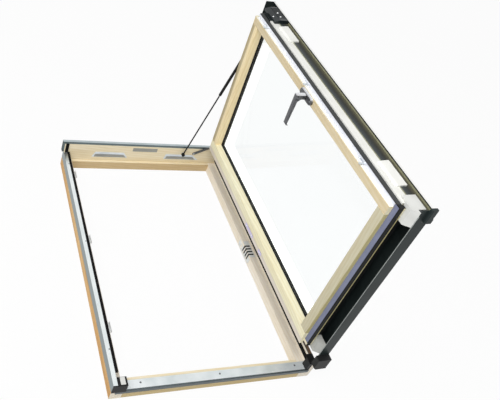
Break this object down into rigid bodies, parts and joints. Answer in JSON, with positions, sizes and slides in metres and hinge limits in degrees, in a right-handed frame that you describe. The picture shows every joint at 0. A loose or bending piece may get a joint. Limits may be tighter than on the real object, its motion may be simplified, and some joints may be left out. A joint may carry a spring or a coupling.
{
  "type": "roof skylight",
  "caption": "Side hung roof window: a pine frame with metal caps and a glazed sash that swings open on a gas strut, with a lever lock.",
  "frame": {"origin": "middle of the sill's room face", "axes": "+Z out of the roof, +Y up the slope from sill to head, +X towards the hinge side"},
  "size_m": [0.6849, 1.024, 0.7758],
  "materials": {
    "pine": "clear lacquered pine",
    "bright_aluminium": "plain mill aluminium",
    "grey_cover": "dark grey powder coat",
    "black_plastic": "moulded black",
    "white_plastic": "moulded white",
    "seal_rubber": "matt black",
    "zinc_steel": "zinc plated",
    "hinge_steel": "plated steel",
    "handle_silver": "silver lacquer",
    "glass": "clear",
    "spacer_black": "black warm edge",
    "strut_black": "black"
  },
  "bodies": {
    "frame": {"frame_lock_stile": "pine", "frame_hinge_stile": "pine", "frame_lock_cap": "bright_aluminium", "frame_hinge_cap": "bright_aluminium", "frame_head": "pine", "frame_hood": "bright_aluminium", "frame_sill": "pine", "sill_cap": "bright_aluminium", "corner_block_lock": "black_plastic", "corner_block_hinge": "black_plastic", "frame_seal": "seal_rubber", "strike_lower": "zinc_steel", "strike_middle": "zinc_steel", "strike_upper": "zinc_steel", "tray_small": "zinc_steel", "tray_large": "zinc_steel", "strut_stud": "zinc_steel", "catch_pin": "zinc_steel", "keep_plate": "zinc_steel", "frame_leaf_lower": "hinge_steel", "frame_leaf_upper": "hinge_steel", "hinge_pin_lower": "hinge_steel", "hinge_pin_upper": "hinge_steel"},
    "sash": {"sash_lock_stile": "pine", "sash_hinge_stile": "pine", "sash_foot_rail": "pine", "sash_head_rail": "pine", "inner_pane": "glass", "outer_pane": "glass", "glass_spacer": "spacer_black", "glazing_seal": "seal_rubber", "sash_seal": "seal_rubber", "edge_profile_lock": "white_plastic", "edge_profile_hinge": "white_plastic", "edge_profile_foot": "black_plastic", "edge_profile_head": "black_plastic", "cover_lock": "grey_cover", "cover_hinge": "grey_cover", "cover_foot": "grey_cover", "cover_head": "grey_cover", "corner_cap_lock": "grey_cover", "corner_cap_hinge": "black_plastic", "end_cap_lock": "black_plastic", "end_cap_hinge": "black_plastic", "cover_clip_lower": "white_plastic", "cover_clip_upper": "white_plastic", "end_block_lock": "white_plastic", "end_block_hinge": "white_plastic", "lock_faceplate": "zinc_steel", "handle_plate": "handle_silver", "catch_plate_long": "zinc_steel", "catch_plate_short": "zinc_steel", "sash_leaf_lower": "hinge_steel", "sash_leaf_upper": "hinge_steel", "strut_pivot": "zinc_steel"},
    "handle": {"handle_lever": "handle_silver"},
    "lock": {"lock_bar": "zinc_steel"},
    "strut_tube": {"strut_cylinder": "strut_black"},
    "strut_piston": {"strut_rod": "strut_black"},
    "catch": {"catch_arm": "zinc_steel"}
  },
  "joints": [
    {"name": "sash_hinge", "type": "hinge", "parent": "frame", "child": "sash", "pos_m": [0.331, 0.46, 0.116], "axis": [0, 1, 0], "range_deg": [-87, 0]},
    {"name": "handle_turn", "type": "hinge", "parent": "sash", "child": "handle", "pos_m": [0.21842, 0.49, 0.71643], "axis": [-0.9986, 0, -0.0523], "range_deg": [0, 90]},
    {"name": "lock_slide", "type": "slide", "parent": "sash", "child": "lock", "axis": [0, 1, 0], "range_m": [0, 0.0241]},
    {"name": "strut_swing", "type": "hinge", "parent": "sash", "child": "strut_tube", "pos_m": [0.27021, 0.941, 0.66457], "axis": [0, 1, 0], "range_deg": [-14.21, 0]},
    {"name": "strut_stroke", "type": "slide", "parent": "strut_tube", "child": "strut_piston", "axis": [-0.1884, 0, -0.9821], "range_m": [-0.21164, 0]},
    {"name": "catch_pivot", "type": "hinge", "parent": "frame", "child": "catch", "pos_m": [0.207, 0.946, 0.087], "axis": [0, 1, 0], "range_deg": [0, 30]}
  ],
  "couplings": [
    {"joint": "lock_slide", "follows": "handle_turn", "m_per_rad": 0.015279},
    {"joint": "strut_swing", "follows": "sash_hinge", "ratio": 0.16107},
    {"joint": "strut_stroke", "follows": "sash_hinge", "m_per_rad": 0.13905}
  ]
}
